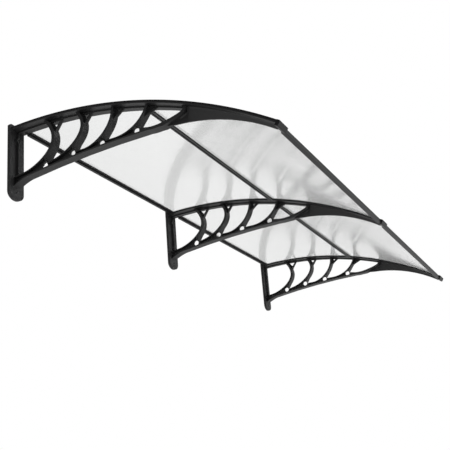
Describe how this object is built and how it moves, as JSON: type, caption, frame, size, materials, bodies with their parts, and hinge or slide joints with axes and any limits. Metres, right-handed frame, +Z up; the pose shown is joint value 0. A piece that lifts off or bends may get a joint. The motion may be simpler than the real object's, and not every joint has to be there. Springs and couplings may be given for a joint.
{
  "type": "door canopy",
  "caption": "Wall-mounted door canopy: curved clear plastic sheets on arched black brackets with open C-shaped struts, joined by slim aluminium cross bars.",
  "frame": {"origin": "on the flat back of the middle bracket's wall plate, half way between its two screw holes", "axes": "+X along the wall to the right as seen from in front, +Y into the wall, so that the canopy reaches out towards -Y, +Z up"},
  "size_m": [2, 0.8818, 0.2505],
  "materials": {
    "moulded_black": "satin moulded black plastic",
    "strip_black": "smooth black plastic",
    "clear_sheet": "clear glossy polycarbonate",
    "grey_aluminium": "dark grey coated",
    "screw_steel": "bright zinc"
  },
  "bodies": {
    "root": {"bracket_left": "moulded_black", "bracket_middle": "moulded_black", "bracket_right": "moulded_black", "cover_strip_left": "strip_black", "cover_strip_middle": "strip_black", "cover_strip_right": "strip_black", "tip_cap_left": "strip_black", "tip_cap_middle": "strip_black", "tip_cap_right": "strip_black", "sheet_left": "clear_sheet", "sheet_right": "clear_sheet", "rear_bar_left": "grey_aluminium", "rear_bar_right": "grey_aluminium", "mid_bar_left": "grey_aluminium", "mid_bar_right": "grey_aluminium", "front_bar_left": "grey_aluminium", "front_bar_right": "grey_aluminium", "strip_screw_left_1": "screw_steel", "strip_screw_left_2": "screw_steel", "strip_screw_left_3": "screw_steel", "strip_screw_left_4": "screw_steel", "strip_screw_left_5": "screw_steel", "strip_screw_middle_1": "screw_steel", "strip_screw_middle_2": "screw_steel", "strip_screw_middle_3": "screw_steel", "strip_screw_middle_4": "screw_steel", "strip_screw_middle_5": "screw_steel", "strip_screw_right_1": "screw_steel", "strip_screw_right_2": "screw_steel", "strip_screw_right_3": "screw_steel", "strip_screw_right_4": "screw_steel", "strip_screw_right_5": "screw_steel"}
  },
  "joints": []
}
